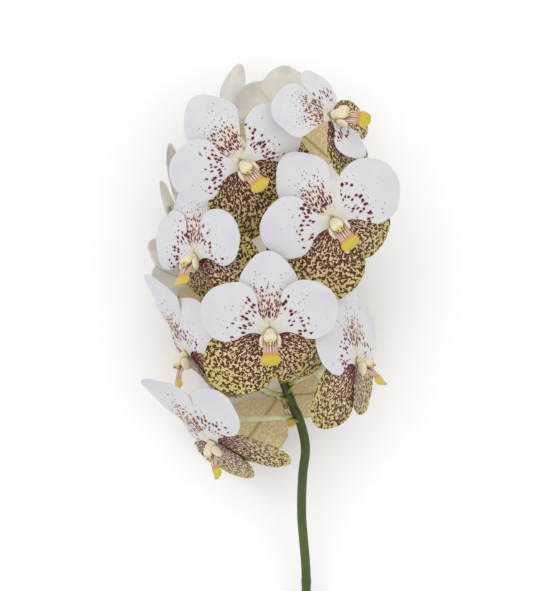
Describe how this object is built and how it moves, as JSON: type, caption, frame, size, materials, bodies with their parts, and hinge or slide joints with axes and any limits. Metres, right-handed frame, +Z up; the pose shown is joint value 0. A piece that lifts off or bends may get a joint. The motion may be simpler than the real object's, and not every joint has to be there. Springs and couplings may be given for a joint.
{
  "type": "vanda orchid stem",
  "caption": "Cut spray of a vanda orchid lying on its back: a long green stalk, and flat white flowers with maroon-mottled lower sepals set all round its upper half.",
  "frame": {"origin": "on the surface that the stem lies on, under the middle of its box", "axes": "+Y from the cut end to the tip of the spray, +Z up, so that the front flowers look up, +X to the right as seen from above with the tip ahead"},
  "size_m": [0.1659, 0.4106, 0.1199],
  "materials": {
    "white_petals": "satin white living tissue with a few maroon specks",
    "mottled_sepals": "satin cream and yellow-green living tissue, densely mottled with maroon",
    "lip": "waxy cream and yellow, with a few violet stripes",
    "pedicel": "waxy pale green",
    "stalk": "satin olive green"
  },
  "bodies": {
    "root": {"flower_01_petals": "white_petals", "flower_01_lateral_sepals": "mottled_sepals", "flower_01_lip_and_column": "lip", "flower_01_pedicel": "pedicel", "flower_02_petals": "white_petals", "flower_02_lateral_sepals": "mottled_sepals", "flower_02_lip_and_column": "lip", "flower_02_pedicel": "pedicel", "flower_03_petals": "white_petals", "flower_03_lateral_sepals": "mottled_sepals", "flower_03_lip_and_column": "lip", "flower_03_pedicel": "pedicel", "flower_04_petals": "white_petals", "flower_04_lateral_sepals": "mottled_sepals", "flower_04_lip_and_column": "lip", "flower_04_pedicel": "pedicel", "flower_05_petals": "white_petals", "flower_05_lateral_sepals": "mottled_sepals", "flower_05_lip_and_column": "lip", "flower_05_pedicel": "pedicel", "flower_06_petals": "white_petals", "flower_06_lateral_sepals": "mottled_sepals", "flower_06_lip_and_column": "lip", "flower_06_pedicel": "pedicel", "flower_07_petals": "white_petals", "flower_07_lateral_sepals": "mottled_sepals", "flower_07_lip_and_column": "lip", "flower_07_pedicel": "pedicel", "flower_08_petals": "white_petals", "flower_08_lateral_sepals": "mottled_sepals", "flower_08_lip_and_column": "lip", "flower_08_pedicel": "pedicel", "flower_09_petals": "white_petals", "flower_09_lateral_sepals": "mottled_sepals", "flower_09_lip_and_column": "lip", "flower_09_pedicel": "pedicel", "flower_10_petals": "white_petals", "flower_10_lateral_sepals": "mottled_sepals", "flower_10_lip_and_column": "lip", "flower_10_pedicel": "pedicel", "flower_11_petals": "white_petals", "flower_11_lateral_sepals": "mottled_sepals", "flower_11_lip_and_column": "lip", "flower_11_pedicel": "pedicel", "flower_12_petals": "white_petals", "flower_12_lateral_sepals": "mottled_sepals", "flower_12_lip_and_column": "lip", "flower_12_pedicel": "pedicel", "flower_13_petals": "white_petals", "flower_13_lateral_sepals": "mottled_sepals", "flower_13_lip_and_column": "lip", "flower_13_pedicel": "pedicel", "flower_14_petals": "white_petals", "flower_14_lateral_sepals": "mottled_sepals", "flower_14_lip_and_column": "lip", "flower_14_pedicel": "pedicel", "stem": "stalk"}
  },
  "joints": []
}
